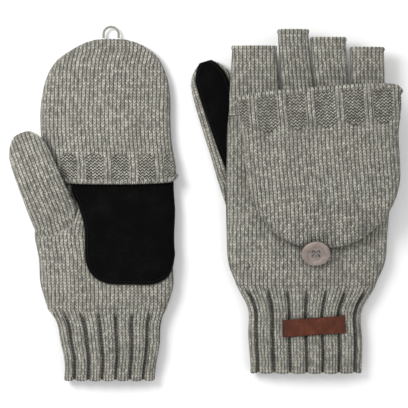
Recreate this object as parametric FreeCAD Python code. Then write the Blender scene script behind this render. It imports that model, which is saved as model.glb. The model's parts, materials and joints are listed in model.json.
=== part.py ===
"""Pair of convertible flip-top mittens, knitted in thick wool.

Each mitten is a fingerless glove (ribbed cuff, hand, thumb, four half fingers) with a knitted cap that is
hinged along a seam on the back of the hand.  The cap covers the fingers, or folds back and hooks its loop on
a button.  The palm and the pad of the thumb carry suede patches, and the cuff a leather label.

The left mitten lies palm up with its cap over the fingers.  The right mitten lies back up with its cap folded
back and buttoned.  Both rest on the plane z = 0, side by side, fingers towards +Y.

Each mitten is designed in its own frame, in millimetres: u runs across the hand from the thumb side to the
little finger side, v from the hem of the cuff to the fingertips, and w from the palm to the back of the hand.
"""

import FreeCAD
import Part
import math
import os
from collections import namedtuple
from FreeCAD import Vector

os.makedirs("parts", exist_ok=True)

# ---------------------------------------------------------------- driving dimensions, millimetres and degrees
KNIT = 2.1            # thickness of the knitted wall of the hand, cuff, thumb and cap
FINGER_KNIT = 1.6     # thickness of the half fingers' wall
SUEDE = 1.2           # thickness of the suede patches
LEATHER = 1.5         # thickness of the label
GAP = 0.3             # clearance between pieces on different bodies
SEAT = 0.1            # clearance between a sewn piece and the knit that it lies on
OVAL_POWER = 2.7      # roundness of a flattened knitted tube: 2 is an ellipse
OVAL_POINTS = 16      # points that shape one oval section
END_RUN = 4.0         # a tube's core runs straight on past an open end by this much

HINGE_W = 8.0         # height of the cap's fold line above the middle of the hand at the knuckles
CAP_DORSAL = 7.9      # outer face of the cap's back layer, same datum
RIM_PALMAR = -9.5     # outer face of the cap's rim on the palm side
CAP_SHIFT = 3.0       # a folded cap lies this far towards the little finger
SEAM_BACK = 5.0       # the cap's seam lies this far behind its fold line
STUB_W = 1.2          # middle of the half fingers, same datum
STUB_HALF = 3.8       # half the outer thickness of a half finger

LABEL_LONG = 47.6
LABEL_WIDE = 13.0

BUTTON_R = 10.75
BUTTON_THICK = 3.0
BUTTON_DISH_R = 7.4   # radius of the sunken middle of the button
BUTTON_DISH = 1.3
BUTTON_HOLE_R = 1.05
BUTTON_HOLE_PITCH = 2.1   # each hole's offset from the middle, across and along
SHANK_R = 1.5
THREAD_R = 0.55

LOOP_R = 5.8          # middle radius of the loop's bend
LOOP_LEG = 1.8        # straight part of each leg
LOOP_CORD_R = 1.0
LOOP_OFF_TIP = 1.5    # from the tip of the cap to the middle of the loop's root

STITCH_R = 0.3
STITCH_PITCH = 3.0    # from the start of one stitch to the start of the next
STITCH_FILL = 0.72    # how much of the pitch a stitch covers
STITCH_LIFT = 0.2     # clearance under a stitch's ends, because it spans a curved skin
SEAM_PITCH = 2.8      # the same pitch in the linking seam of the cap
STITCH_INSET = 2.4    # stitch line's distance inside the edge of a patch


Section = namedtuple("Section", "v left right w half")


class Mitten:
    """The sizes of one mitten, and how it lies."""


left = Mitten()
left.name = "left"
left.place = Vector(-74.2, -135.6, 7.96)   # row position of the mitten's own origin
left.palm_up = True
left.cuff = [
    Section(0, -34.2, 37.4, 1.7, 6.0),
    Section(12, -33.6, 38.6, 0.8, 6.1),
    Section(32, -38.0, 41.6, -0.6, 6.1),
    Section(48, -42.6, 43.6, -0.8, 6.2),
    Section(54, -46.0, 45.6, -0.8, 6.3),
]
left.hand = [
    Section(54, -46.0, 45.6, -0.8, 6.3),
    Section(66, -49.6, 50.0, -1.6, 6.3),
    Section(82, -52.0, 51.0, -2.2, 6.3),
    Section(100, -54.0, 50.2, -1.9, 6.3),
    Section(114, -55.6, 50.0, -1.2, 6.2),
    Section(122, -52.6, 50.4, -0.8, 6.1),
    Section(132, -45.0, 50.4, -0.4, 6.0),
    Section(150, -44.0, 49.4, 0.0, 5.8),
    Section(168, -44.4, 47.4, 0.2, 5.6),
    Section(176, -44.6, 45.6, 1.2, 4.2),
]
left.hinge_v = 172.0
left.hinge_tilt = 0.0
left.hinge_half = 34.0        # half the length of the seam
left.hinge_u = 1.5
left.cap = [
    Section(146, -51.6, 58.4, -0.8, 8.7),
    Section(158, -51.2, 55.4, -0.8, 8.7),
    Section(171, -50.2, 51.2, 0.2, 7.7),
    Section(182, -50.8, 49.4, 1.1, 6.8),
    Section(203, -51.7, 48.6, 1.2, 6.7),
    Section(226, -48.6, 47.2, 1.3, 6.6),
    Section(240, -42.6, 42.6, 1.6, 6.2),
    Section(250, -31.4, 36.0, 2.4, 5.4),
    Section(256, -21.6, 27.0, 3.2, 4.4),
    Section(259.6, -12.0, 17.0, 4.0, 3.2),
    Section(261.0, -4.0, 9.0, 4.4, 1.8),
]
left.cap_rim = (150.5, 172.0)  # the rim on the palm, and at the fold line on the back
left.band_top = 173.5          # where the cap's rib ends on the palm side
left.cap_turn = 0.0            # degrees the cap stands folded back from closed
left.tip = Vector(2.6, 261.0, 4.4)
left.fingers = {
    "index": ((-28.0, 8.0), (-27.4, 8.0), 212.0),
    "middle": ((-10.4, 9.0), (-10.2, 9.0), 222.0),
    "ring": ((8.8, 9.0), (8.6, 9.0), 218.0),
    "little": ((26.8, 7.8), (26.0, 7.6), 206.0),
}
left.knuckle_v = 176.0
left.thumb_root = Vector(-37.2, 119.0, 0)
left.thumb_lean = 22.0
left.thumb = [
    Section(-26, -19.0, 19.0, 1.5, 5.0),
    Section(-12, -19.2, 19.2, -0.6, 5.0),
    Section(0, -18.8, 18.8, -3.4, 5.0),
    Section(14, -17.8, 17.8, -8.8, 5.0),
    Section(30, -17.0, 17.0, -13.0, 5.0),
    Section(44, -16.6, 16.6, -13.2, 5.0),
    Section(56, -15.8, 15.8, -11.2, 4.9),
    Section(65, -13.4, 13.4, -9.0, 4.5),
    Section(71, -9.4, 9.4, -8.0, 3.6),
    Section(74.6, -4.4, 4.4, -7.6, 2.2),
]
left.thumb_pivot = Vector(-56.0, 116.0, 0)
left.thumb_spread = 25.0       # degrees the thumb swings away from the hand
left.patch = [
    (-27.0, 153.5), (-26.6, 144.0), (-20.0, 128.0), (-17.0, 116.0), (-16.4, 98.0), (-12.4, 82.0),
    (-2.0, 74.4), (18.0, 72.8), (38.0, 73.6), (47.0, 79.0), (51.5, 92.0), (53.0, 120.0), (52.0, 153.5),
]
left.patch_sewn = 10
left.thumb_patch = [
    (-12.5, 8.0), (-11.5, 40.0), (-9.5, 60.0), (0.0, 69.0), (9.5, 60.0), (11.0, 40.0), (12.0, 8.0),
]
left.button = Vector(4.0, 79.0, 4.8)       # middle of the button, w is its underside
left.button_tilt = 0.0
left.loop_lean = 0.0
left.label = Vector(4.0, 30.0, 0)
left.label_turn = 0.0

right = Mitten()
right.name = "right"
right.place = Vector(78.3, -130.0, 14.55)
right.palm_up = False
right.cuff = [
    Section(0, -43.0, 42.2, -8.2, 6.2),
    Section(12, -43.6, 42.6, -8.2, 6.2),
    Section(34, -44.8, 42.0, -8.1, 6.2),
    Section(56, -48.6, 47.0, -7.6, 6.3),
    Section(66, -54.0, 53.0, -7.0, 6.4),
]
right.hand = [
    Section(66, -54.0, 53.0, -7.0, 6.4),
    Section(78, -59.0, 58.4, -6.4, 6.4),
    Section(98, -61.6, 61.4, -5.5, 6.4),
    Section(120, -62.3, 63.0, -4.2, 6.3),
    Section(145, -62.3, 63.8, -1.8, 6.1),
    Section(168, -62.0, 63.4, -0.3, 5.9),
    Section(188, -61.4, 62.4, 0.2, 5.6),
    Section(199, -60.2, 60.6, 1.2, 4.2),
]
right.hinge_v = 191.0
right.hinge_tilt = 4.5
right.hinge_half = 44.0
right.hinge_u = 5.0
right.cap = [
    Section(-29, -64.6, 63.4, -0.8, 8.7),
    Section(-14, -64.0, 63.0, -0.8, 8.7),
    Section(0, -60.2, 61.0, 0.2, 7.7),
    Section(12, -58.6, 58.8, 1.1, 6.8),
    Section(40, -58.2, 58.2, 1.2, 6.7),
    Section(60, -54.0, 54.4, 1.3, 6.6),
    Section(74, -47.0, 46.6, 1.6, 6.2),
    Section(84, -37.6, 36.6, 2.4, 5.4),
    Section(91, -26.8, 25.6, 3.2, 4.4),
    Section(95, -15.6, 15.0, 4.0, 3.2),
    Section(96.6, -6.4, 6.4, 4.4, 1.8),
]
right.cap_rim = (-24.0, 0.0)
right.band_top = 7.0
right.cap_turn = 184.0
right.tip = Vector(-7.5, 96.2, 4.4)
right.fingers = {
    "index": ((-39.6, 20.2), (-40.4, 17.2), 247.5),
    "middle": ((-6.4, 12.6), (-10.8, 11.8), 260.0),
    "ring": ((19.6, 12.9), (15.8, 13.8), 254.0),
    "little": ((46.2, 13.2), (45.4, 13.0), 246.5),
}
right.knuckle_v = 199.3
right.thumb_root = Vector(-47.0, 136.0, 0)
right.thumb_lean = 16.7
right.thumb = [
    Section(-30, -16.0, 17.6, -7.6, 5.0),
    Section(-12, -16.6, 17.6, -8.2, 5.0),
    Section(6, -17.2, 17.4, -9.0, 5.0),
    Section(30, -17.2, 17.2, -9.5, 5.0),
    Section(60, -17.4, 17.4, -9.5, 5.0),
    Section(84, -17.2, 17.2, -9.5, 5.0),
    Section(95, -15.0, 15.0, -9.5, 4.7),
    Section(101, -11.0, 11.0, -9.5, 4.0),
    Section(104.5, -6.8, 6.8, -9.5, 2.8),
    Section(106, -3.0, 3.0, -9.5, 1.6),
]
right.thumb_pivot = Vector(-61.5, 139.0, 0)
right.thumb_spread = 10.0      # the left mitten lies beside this thumb and stops it
right.patch = [
    (-40.0, 180.0), (-40.0, 160.0), (-30.0, 140.0), (-25.0, 122.0), (-22.0, 106.0), (-14.0, 94.0),
    (0.0, 88.0), (24.0, 86.4), (46.0, 88.0), (56.0, 96.0), (61.0, 110.0), (63.0, 140.0), (62.0, 180.0),
]
right.patch_sewn = 10
right.thumb_patch = [
    (-4.0, -4.0), (-8.6, 20.0), (-11.0, 50.0), (-12.2, 84.0), (-10.2, 98.0), (0.0, 108.0), (10.2, 98.0),
    (13.0, 84.0), (13.0, 40.0), (9.0, -4.0),
]
right.button = Vector(5.8, 91.8, 7.4)
right.button_tilt = 34.0
right.loop_lean = 20.0         # the loop slants down to the button's shank
right.label = Vector(5.4, 35.2, 0)
right.label_turn = 3.8



# ---------------------------------------------------------------- shapes
def oval(section, grow=0.0, v=None):
    """Closed curve of a flattened tube's section, grown outwards by grow."""
    half_u = (section.right - section.left) / 2 + grow
    middle = (section.right + section.left) / 2
    half_w = section.half + grow
    points = []
    for i in range(OVAL_POINTS):
        turn = 2 * math.pi * i / OVAL_POINTS
        c, s = math.cos(turn), math.sin(turn)
        u = middle + math.copysign(abs(c) ** (2 / OVAL_POWER), c) * half_u
        w = section.w + math.copysign(abs(s) ** (2 / OVAL_POWER), s) * half_w
        points.append(Vector(u, section.v if v is None else v, w))
    curve = Part.BSplineCurve()
    curve.interpolate(points, PeriodicFlag=True)
    return Part.Wire(curve.toShape())


def straight_end(section, distance):
    return section._replace(v=section.v + distance)


def tube_core(sections, grow=0.0, closed_tip=False):
    """Solid lofted through the sections and END_RUN straight past its open ends."""
    wires = [oval(straight_end(sections[0], -END_RUN), grow)]
    wires += [oval(s, grow) for s in sections]
    if not closed_tip:
        wires.append(oval(straight_end(sections[-1], END_RUN), grow))
    return Part.makeLoft(wires, True, False)


def tube_solid(sections, grow=0.0, closed_tip=False):
    """The core between its first and its last section."""
    wide = 400
    box = Part.makeBox(wide, sections[-1].v - sections[0].v + grow, wide,
                       Vector(-wide / 2, sections[0].v, -wide / 2))
    return biggest(tube_core(sections, grow, closed_tip).common(box))


def hollow_sections(sections, wall):
    """The sections of a closed-ended tube's cavity: they stop one wall short of its tip."""
    end = sections[-1].v - wall
    kept = [s for s in sections if s.v < end - 2 and s.half > wall + 0.8]
    last = kept[-1]
    squeeze = 0.35 * (last.right - last.left)
    tip = Section(end, last.left + squeeze, last.right - squeeze, sections[-2].w, wall + 0.7)
    return kept + [tip]


def prism(outline, low, high, smooth=True):
    """Upright solid over a smooth or angular line through (u, v) points, closed by a straight edge."""
    points = [Vector(u, v, low) for u, v in outline]
    if smooth:
        curve = Part.BSplineCurve()
        curve.interpolate(points)
        wire = Part.Wire([curve.toShape(), Part.makeLine(points[-1], points[0])])
    else:
        wire = Part.makePolygon(points + points[:1])
    return Part.Face(wire).extrude(Vector(0, 0, high - low))


def inset(outline, distance):
    """The outline's points moved towards its inside by distance."""
    moved = []
    count = len(outline)
    twice_area = 0.0
    for i in range(count):
        (last_u, last_v), (next_u, next_v) = outline[i - 1], outline[i]
        twice_area += last_u * next_v - next_u * last_v
    distance = math.copysign(distance, twice_area)
    for i, (u, v) in enumerate(outline):
        before, after = outline[i - 1], outline[(i + 1) % count]
        along = Vector(after[0] - before[0], after[1] - before[1], 0).normalize()
        moved.append((u - along.y * distance, v + along.x * distance))
    return moved


def turned(shape, pivot, axis, degrees):
    copy = shape.copy()
    copy.rotate(pivot, axis, degrees)
    return copy


def on_thumb(mitten, shape):
    """Carries a shape from the thumb's own frame, along +v from its root, to the mitten's frame."""
    placed = turned(shape, Vector(0, 0, 0), Vector(0, 0, 1), mitten.thumb_lean)
    placed.translate(mitten.thumb_root)
    return placed


def on_cap(mitten, shape):
    """Carries a shape from the cap's closed place to where the cap lies at rest."""
    if not mitten.cap_turn:
        return shape
    placed = shape.copy()
    fold = Vector(0, 0, HINGE_W)
    placed.rotate(fold, Vector(-1, 0, 0), -mitten.cap_turn)
    placed.rotate(Vector(0, 0, 0), Vector(0, 0, 1), mitten.hinge_tilt)
    placed.translate(Vector(mitten.hinge_u + CAP_SHIFT, mitten.hinge_v, 0))
    return placed



# ---------------------------------------------------------------- pieces of one mitten
def cuff(m):
    return tube_solid(m.cuff).cut(tube_core(m.cuff, -KNIT))


def thumb_outer(m, grow=0.0):
    return on_thumb(m, tube_core(m.thumb, grow, True))


def thumb_cavity(m):
    return on_thumb(m, tube_core(hollow_sections(m.thumb, KNIT), -KNIT, True))


def hand(m):
    shell = tube_solid(m.hand).cut(tube_core(m.hand, -KNIT))
    return biggest(shell.cut(thumb_cavity(m)))


def thumb(m):
    """The thumb's tube, cut off where it meets the hand at rest and as it spreads."""
    tube = thumb_outer(m).cut(thumb_cavity(m))
    return biggest(tube.cut(m.thumb_room))


def biggest(shape):
    return max(shape.Solids, key=lambda s: s.Volume)


def finger(m, name):
    (base_u, base_a), (top_u, top_a), top_v = m.fingers[name]
    base_v = m.knuckle_v + (0 if m.palm_up else GAP)
    middle_v = (base_v + top_v) / 2
    middle_u = (base_u + top_u) / 2
    middle_a = (base_a + top_a) / 2
    sections = [
        Section(base_v, base_u - base_a, base_u + base_a, STUB_W, STUB_HALF),
        Section(middle_v, middle_u - middle_a, middle_u + middle_a, STUB_W, STUB_HALF),
        Section(top_v, top_u - top_a, top_u + top_a, STUB_W, STUB_HALF),
    ]
    return tube_solid(sections).cut(tube_core(sections, -FINGER_KNIT))


def cap_pieces(m):
    """The cap's shell and the ribbed band along its rim on the palm side, both at rest."""
    shell = tube_core(m.cap, 0, True).cut(tube_core(hollow_sections(m.cap, KNIT), -KNIT, True))
    palm_v, back_v = m.cap_rim
    low, high, wide = RIM_PALMAR - 6, CAP_DORSAL + 6, 120
    slope = (back_v - palm_v) / (CAP_DORSAL - RIM_PALMAR)
    cut_low = palm_v + slope * (low - RIM_PALMAR)
    cut_high = palm_v + slope * (high - RIM_PALMAR)
    corners = [(-200, low), (cut_low, low), (cut_high, high), (-200, high)]
    side = Part.Face(Part.makePolygon([Vector(-wide, v, w) for v, w in corners + corners[:1]]))
    shell = biggest(shell.cut(side.extrude(Vector(2 * wide, 0, 0))))
    middle_w = m.cap[2].w
    palm_side = Part.makeBox(2 * wide, 400, 40, Vector(-wide, m.band_top - 400, middle_w - 40))
    band = biggest(shell.common(palm_side))
    return on_cap(m, biggest(shell.cut(palm_side))), on_cap(m, band)


def cap_loop(m):
    """A cord bent to a U, with round ends, standing off the tip of the cap."""
    root = Vector(m.tip.x, m.tip.y + LOOP_OFF_TIP, m.tip.z)
    a = root + Vector(-LOOP_R, 0, 0)
    b = root + Vector(LOOP_R, 0, 0)
    up = Vector(0, LOOP_LEG, 0)
    top = root + Vector(0, LOOP_LEG + LOOP_R, 0)
    edges = [
        Part.LineSegment(a, a + up).toShape(),
        Part.Arc(a + up, top, b + up).toShape(),
        Part.LineSegment(b + up, b).toShape(),
    ]
    ring = Part.Wire(Part.makeCircle(LOOP_CORD_R, a, Vector(0, 1, 0)))
    cord = Part.Wire(edges).makePipeShell([ring], True, True)
    ends = [Part.makeSphere(LOOP_CORD_R, p) for p in (a, b)]
    loop = turned(cord.fuse(ends).removeSplitter(), root, Vector(1, 0, 0), m.loop_lean)
    return on_cap(m, loop)


def skin_height(solid, u, v, side):
    """w of the solid's skin at (u, v), on the side of +w or of -w."""
    ray = Part.makeLine(Vector(u, v, -60), Vector(u, v, 60))
    inside = solid.common(ray).BoundBox
    return inside.ZMax if side > 0 else inside.ZMin


def stitch_row(solid, line, side, pitch, radius, blocked=(), carry=Vector):
    """Straight stitches over the solid's skin, along a smooth curve through the (u, v) points of line.

    A stitch with an end inside one of the blocked solids, once carried to their frame, is left out.
    """
    curve = Part.BSplineCurve()
    curve.interpolate([Vector(u, v, 0) for u, v in line])
    path = curve.discretize(Number=round(curve.length() / pitch) + 1)
    stitches = []
    for p, following in zip(path, path[1:]):
        q = p + (following - p) * STITCH_FILL
        ends = []
        for point in (p, q):
            height = skin_height(solid, point.x, point.y, side)
            ends.append(Vector(point.x, point.y, height + side * (STITCH_LIFT + radius)))
        if any(solid.isInside(carry(end), GAP, True) for solid in blocked for end in ends):
            continue
        run = ends[1] - ends[0]
        stitches.append(Part.makeCylinder(radius, run.Length, ends[0], run))
    return Part.makeCompound(stitches)


def cap_seam(m):
    """The linking stitches behind the fold line, over the back of the hand."""
    tilt = math.radians(m.hinge_tilt)
    line = []
    for along in (-m.hinge_half, 0, m.hinge_half):
        line.append((m.hinge_u + along * math.cos(tilt), m.hinge_v - SEAM_BACK + along * math.sin(tilt)))
    return stitch_row(m.hand_solid, line, 1, SEAM_PITCH, THREAD_R)


def button_frame(m, shape):
    """Tilts a shape about the middle of the button's underside and puts it on the hand."""
    placed = turned(shape, Vector(0, 0, 0), Vector(1, 0, 0), m.button_tilt)
    placed.translate(m.button)
    return placed


def button(m):
    disc = Part.makeCylinder(BUTTON_R, BUTTON_THICK)
    disc = disc.makeFillet(1.0, disc.Edges)
    dish_floor = Vector(0, 0, BUTTON_THICK - BUTTON_DISH)
    dish = Part.makeCone(BUTTON_DISH_R - 1.4, BUTTON_DISH_R, BUTTON_DISH, dish_floor)
    disc = disc.cut(dish)
    for across in (-BUTTON_HOLE_PITCH, BUTTON_HOLE_PITCH):
        for along in (-BUTTON_HOLE_PITCH, BUTTON_HOLE_PITCH):
            disc = disc.cut(Part.makeCylinder(BUTTON_HOLE_R, BUTTON_THICK, Vector(across, along, 0)))
    return button_frame(m, disc)


def button_thread(m):
    """Two crossing stitches on the button's face, with an end down through each hole."""
    face = BUTTON_THICK - BUTTON_DISH + SEAT + THREAD_R
    reach = BUTTON_HOLE_PITCH
    pieces = []
    for side in (1, -1):
        start = Vector(-reach, -reach * side, face)
        run = Vector(2 * reach, 2 * reach * side, 0)
        pieces.append(Part.makeCylinder(THREAD_R, run.Length, start, run))
        for end in (start, start + run):
            pieces.append(Part.makeSphere(THREAD_R, end))
            pieces.append(Part.makeCylinder(THREAD_R, end.z, Vector(end.x, end.y, 0)))
    return button_frame(m, pieces[0].fuse(pieces[1:]).removeSplitter())


def button_shank(m):
    """The wound thread between the knit and the button's underside."""
    foot = skin_height(m.hand_solid, m.button.x, m.button.y, 1) + SEAT
    post = Part.makeCylinder(SHANK_R, 12, Vector(m.button.x, m.button.y, foot))
    below = Part.makeBox(60, 60, 30, Vector(-30, -30, -30 - GAP))
    return biggest(post.common(button_frame(m, below)))


def on_surface(sections, outline, low, high, side, smooth=True, closed_tip=False):
    """A sheet over an outline, between two heights above a tube's skin, on the side of +w or of -w."""
    level = 40 * side
    middle = sum(s.w for s in sections) / len(sections)
    ends = sorted((middle, level))
    chunk = tube_core(sections, high, closed_tip).common(prism(outline, ends[0], ends[1], smooth))
    return biggest(chunk.cut(tube_core(sections, low, closed_tip)))


def palm_pieces(m):
    """The palm's patch and the stitching along its sewn edges, both kept clear of the thumb as it spreads."""
    space = thumb_outer(m, SEAT + SUEDE + GAP)
    thumb_spaces = [
        turned(space, m.thumb_pivot, Vector(0, 0, 1), m.thumb_spread * step / 3) for step in range(4)
    ]
    patch = on_surface(m.hand, m.patch, SEAT, SEAT + SUEDE, -1)
    patched = tube_core(m.hand, SEAT + SUEDE)
    edge = inset(m.patch, STITCH_INSET)[:m.patch_sewn]
    stitches = stitch_row(patched, edge, -1, STITCH_PITCH, STITCH_R, thumb_spaces)
    return biggest(patch.cut(thumb_spaces)), stitches


def thumb_patch_pieces(m):
    """The patch on the pad of the thumb and its stitching, both kept clear of the hand."""
    patch = on_surface(m.thumb, m.thumb_patch, SEAT, SEAT + SUEDE, 1, closed_tip=True)
    patched = tube_core(m.thumb, SEAT + SUEDE, True)
    edge = inset(m.thumb_patch, STITCH_INSET)[1:-1]

    def carry(point):
        return on_thumb(m, Part.Vertex(point)).Point

    stitches = stitch_row(patched, edge, 1, STITCH_PITCH, STITCH_R, [m.thumb_room], carry)
    return biggest(on_thumb(m, patch).cut(m.thumb_room)), on_thumb(m, stitches)


def thumb_clear(m):
    """The room that the hand takes, at rest and as the thumb spreads."""
    body = tube_core(m.hand, GAP)
    return body.fuse([
        turned(body, m.thumb_pivot, Vector(0, 0, 1), -m.thumb_spread / 2),
        turned(body, m.thumb_pivot, Vector(0, 0, 1), -m.thumb_spread),
    ])


def label_pieces(m):
    """The leather label over the back of the cuff, and a stitch bar at each end of it."""
    def rectangle(middle_u, long, wide):
        corners = [
            (-long / 2, -wide / 2), (long / 2, -wide / 2), (long / 2, wide / 2), (-long / 2, wide / 2),
        ]
        turn = math.radians(m.label_turn)
        placed = []
        for a, b in corners:
            a += middle_u
            placed.append((m.label.x + a * math.cos(turn) - b * math.sin(turn),
                           m.label.y + a * math.sin(turn) + b * math.cos(turn)))
        return placed
    low, high = SEAT, SEAT + LEATHER
    plate = on_surface(m.cuff, rectangle(0, LABEL_LONG, LABEL_WIDE), low, high, 1, False)
    bars = []
    for end in (-1, 1):
        bar_u = end * (LABEL_LONG / 2 - STITCH_INSET)
        box = rectangle(bar_u, 2 * STITCH_R, LABEL_WIDE - 4 * STITCH_R)
        bars.append(on_surface(m.cuff, box, high, high + STITCH_R, 1, False))
    return plate, Part.makeCompound(bars)


# ---------------------------------------------------------------- the pair
def to_row(m, shape):
    """Carries a shape from a mitten's frame to the row frame."""
    placed = shape.mirror(Vector(0, 0, 0), Vector(0, 0, 1)) if m.palm_up else shape.copy()
    placed.translate(m.place)
    return placed


def build(m):
    """{node: shape} of one mitten, in its own frame."""
    m.hand_solid = tube_core(m.hand)
    m.thumb_room = thumb_clear(m)
    nodes = {"cuff": cuff(m), "hand": hand(m), "thumb": thumb(m)}
    for name in m.fingers:
        nodes[name + "_finger"] = finger(m, name)
    nodes["cap"], nodes["cap_rim_band"] = cap_pieces(m)
    nodes["cap_loop"] = cap_loop(m)
    nodes["cap_seam"] = cap_seam(m)
    nodes["button"] = button(m)
    nodes["button_thread"] = button_thread(m)
    nodes["button_shank"] = button_shank(m)
    nodes["palm_patch"], nodes["palm_stitching"] = palm_pieces(m)
    nodes["thumb_patch"], nodes["thumb_stitching"] = thumb_patch_pieces(m)
    nodes["label"], nodes["label_stitching"] = label_pieces(m)
    return nodes


def main():
    for m in (left, right):
        for name, shape in build(m).items():
            placed = to_row(m, shape)
            placed.exportStep(f"parts/{m.name}_{name}.step")
            box = placed.BoundBox
            print(f"{m.name}_{name}: valid {placed.isValid()}, {len(placed.Solids)} solid")
            print(f"    {placed.Volume:.0f} mm3, x {box.XMin:.1f} to {box.XMax:.1f} mm, "
                  f"y {box.YMin:.1f} to {box.YMax:.1f} mm, z {box.ZMin:.1f} to {box.ZMax:.1f} mm")


if __name__ == "__main__":
    main()
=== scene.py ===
"""A pair of convertible mittens in ragg wool, with suede patches, labels, buttons and loops."""

import json
import math

import bpy
import numpy as np
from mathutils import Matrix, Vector
from mathutils.bvhtree import BVHTree


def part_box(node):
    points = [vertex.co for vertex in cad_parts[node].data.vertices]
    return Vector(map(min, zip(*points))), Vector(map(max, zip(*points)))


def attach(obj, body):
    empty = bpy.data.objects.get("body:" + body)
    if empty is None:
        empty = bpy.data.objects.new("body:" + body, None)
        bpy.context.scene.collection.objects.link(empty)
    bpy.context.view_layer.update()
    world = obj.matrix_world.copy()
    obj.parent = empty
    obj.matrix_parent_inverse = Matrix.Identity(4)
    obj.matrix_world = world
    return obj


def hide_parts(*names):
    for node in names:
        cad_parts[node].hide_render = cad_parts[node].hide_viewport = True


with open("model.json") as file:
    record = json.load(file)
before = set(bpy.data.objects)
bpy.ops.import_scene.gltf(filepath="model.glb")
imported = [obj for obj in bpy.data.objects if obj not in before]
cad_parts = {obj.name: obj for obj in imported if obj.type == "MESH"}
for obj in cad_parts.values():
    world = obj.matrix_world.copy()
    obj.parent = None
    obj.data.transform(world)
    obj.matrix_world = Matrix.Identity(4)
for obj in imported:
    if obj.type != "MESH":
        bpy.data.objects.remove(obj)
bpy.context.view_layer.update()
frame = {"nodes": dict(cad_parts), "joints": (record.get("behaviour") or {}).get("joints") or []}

MM = 0.001
WALE = 3.0 * MM           # width of one column of stitches
COURSE = 2.3 * MM         # height of one row of stitches
STITCH_SLANT = 1.5        # rise of a stitch's leg, in rows over one column's width
RELIEF = 0.7 * MM         # how far a stitch stands out
CELL = 0.62 * MM          # mesh spacing along and across the knit
SECTION_STEP = 3.0 * MM   # spacing of the sections measured on the frame
COLUMNS = 33              # measured points over each face, from one side edge to the other
INNER_STEP = 4            # the plain inner face has one row for so many of the outer face
WALL = 1.9 * MM
FINGER_WALL = 1.5 * MM
RIB_GROOVE = 2.6 * MM     # width of the purl groove between two ribs
RIB_DEEP = 1.5 * MM
BAND_COLUMN = 6.4 * MM    # width of a knit column
ROOT_STEPS = 8            # sections added where a thumb's root sinks into the hand
FAR = 0.4                 # rays start this far out

nodes = frame["nodes"]


# ---------------------------------------------------------------- measuring the frame
class Skin:
    """The outer skin of CAD nodes, met by rays in a frame of its own: across, along the piece, and up."""

    def __init__(self, names, along=(0, 1, 0), bridged=False):
        self.bridged = bridged
        verts, faces = [], []
        for name in names:
            mesh = nodes[name].data
            first = len(verts)
            verts += [v.co.copy() for v in mesh.vertices]
            faces += [[first + i for i in p.vertices] for p in mesh.polygons]
        self.tree = BVHTree.FromPolygons(verts, faces)
        self.along = Vector(along).normalized()
        self.up = Vector((0, 0, 1))
        self.across = self.along.cross(self.up)
        self.basis = np.array([self.across, self.along, self.up])
        spots = np.array(verts) @ self.basis.T
        self.low, self.high = spots.min(0), spots.max(0)

    def point(self, a, s, h):
        return self.across * a + self.along * s + self.up * h

    def height(self, a, s, side):
        """Height of the skin at (a, s), met from above (side 1) or from below (side -1), or None."""
        hit = self.tree.ray_cast(self.point(a, s, side * FAR), self.up * -side)[0]
        return None if hit is None else hit.dot(self.up)

    def edge(self, s, h, side):
        """How far across the skin reaches at (s, h), on the side of +across or -across, or None."""
        hit = self.tree.ray_cast(self.point(side * FAR, s, h), self.across * -side)[0]
        return None if hit is None else hit.dot(self.across)

    def widest(self, s, side):
        """(across, height) of the section's outermost point."""
        for count in (40, 600):
            hits = [(self.edge(s, h, side), h) for h in np.linspace(self.low[2], self.high[2], count)]
            hits = [hit for hit in hits if hit[0] is not None]
            if hits:
                return max(hits, key=lambda hit: hit[0] * side)

    def section(self, s):
        """The section's upper and lower line of (across, height) points, each from -across to +across.

        On a bridged skin, a ray that passes through a hole and meets the far wall adds no point.
        """
        s = min(max(s, self.low[1] + 0.2 * MM), self.high[1] - 0.2 * MM)
        left, right = self.widest(s, -1), self.widest(s, 1)
        middle, half = (left[0] + right[0]) / 2, (right[0] - left[0]) / 2
        level = (left[1] + right[1]) / 2
        lines = []
        for side in (1, -1):
            line = [left]
            for i in range(1, 2 * COLUMNS - 1):
                a = middle - half * math.cos(math.pi * i / (2 * COLUMNS - 1))
                h = self.height(a, s, side)
                if h is not None and (not self.bridged or (h - level) * side > 0.4 * MM):
                    line.append((a, h))
            line.append(right)
            lines.append(respaced(np.array(line), COLUMNS))
        return lines


def respaced(line, count):
    """The line's points moved to equal distances along it, and its length."""
    steps = np.hypot(*np.diff(line, axis=0).T)
    run = np.concatenate([[0], np.cumsum(steps)])
    at = np.linspace(0, run[-1], count)
    return np.stack([np.interp(at, run, line[:, i]) for i in range(line.shape[1])], 1), run[-1]


def softened(grid, times, axis):
    """The grid evened out along an axis, with its first and last entries kept."""
    grid = np.moveaxis(grid.copy(), axis, 0)
    for _ in range(times):
        grid[1:-1] = grid[1:-1] * 0.5 + (grid[:-2] + grid[2:]) * 0.25
    return np.moveaxis(grid, 0, axis)


def cubic(grid, at):
    """Catmull-Rom interpolation along the grid's first axis, at fractional positions for each column."""
    last = len(grid) - 1
    i = np.clip(np.floor(at).astype(int), 0, last - 1)
    t = (at - i)[..., None]
    column = np.arange(grid.shape[1])[None]
    p0, p1 = grid[np.clip(i - 1, 0, last), column], grid[i, column]
    p2, p3 = grid[i + 1, column], grid[np.clip(i + 2, 0, last), column]
    return 0.5 * (2 * p1 + (p2 - p0) * t + (2 * p0 - 5 * p1 + 4 * p2 - p3) * t ** 2
                  + (3 * p1 - p0 - 3 * p2 + p3) * t ** 3)


# ---------------------------------------------------------------- knitting patterns
def smoothstep(x):
    x = np.clip(x, 0, 1)
    return x * x * (3 - 2 * x)


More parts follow.
